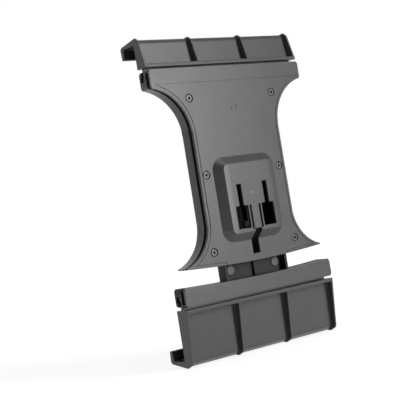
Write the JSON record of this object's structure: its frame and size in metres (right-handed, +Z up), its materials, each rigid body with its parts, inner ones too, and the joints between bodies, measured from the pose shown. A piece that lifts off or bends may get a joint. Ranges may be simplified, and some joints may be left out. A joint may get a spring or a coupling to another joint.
{
  "type": "tablet holder",
  "caption": "Sprung holder for a flat device: two-shell body with a fixed upper jaw, a sliding lower jaw and a boss with T slots for an arm.",
  "frame": {"origin": "on the seat plane that the held device's back rests on, on the centre line, at mid height of the space between the jaws' ledges", "axes": "+X to the right seen from the arm's side, +Y out of the seat towards the held device, +Z up towards the fixed upper jaw"},
  "size_m": [0.116, 0.0313, 0.1948],
  "materials": {
    "housing_plastic": "fine textured moulding, satin",
    "strap_plastic": "smooth moulding, matt",
    "glide_plastic": "smooth moulding, matt",
    "pad_rubber": "matt",
    "screw_steel": "blackened",
    "spring_steel": "drawn wire"
  },
  "bodies": {
    "holder_body": {"rear_shell": "housing_plastic", "front_cover": "housing_plastic", "cover_screws": "screw_steel", "seat_pads": "pad_rubber", "upper_jaw": "housing_plastic", "upper_jaw_lining": "pad_rubber", "upper_grub_screws": "screw_steel", "left_spring": "spring_steel", "right_spring": "spring_steel"},
    "carriage": {"slide_carriage": "strap_plastic", "carriage_cover": "housing_plastic", "carriage_screws": "screw_steel", "carriage_pad": "pad_rubber", "glide_buttons": "glide_plastic", "lower_jaw": "housing_plastic", "lower_jaw_lining": "pad_rubber", "lower_grub_screws": "screw_steel"}
  },
  "joints": [
    {"name": "carriage_slide", "type": "slide", "parent": "holder_body", "child": "carriage", "axis": [0, 0, -1], "range_m": [-0.009, 0.03], "stiffness_N_per_m": 250, "springref_m": -0.035, "deforming": ["left_spring", "right_spring"]}
  ]
}
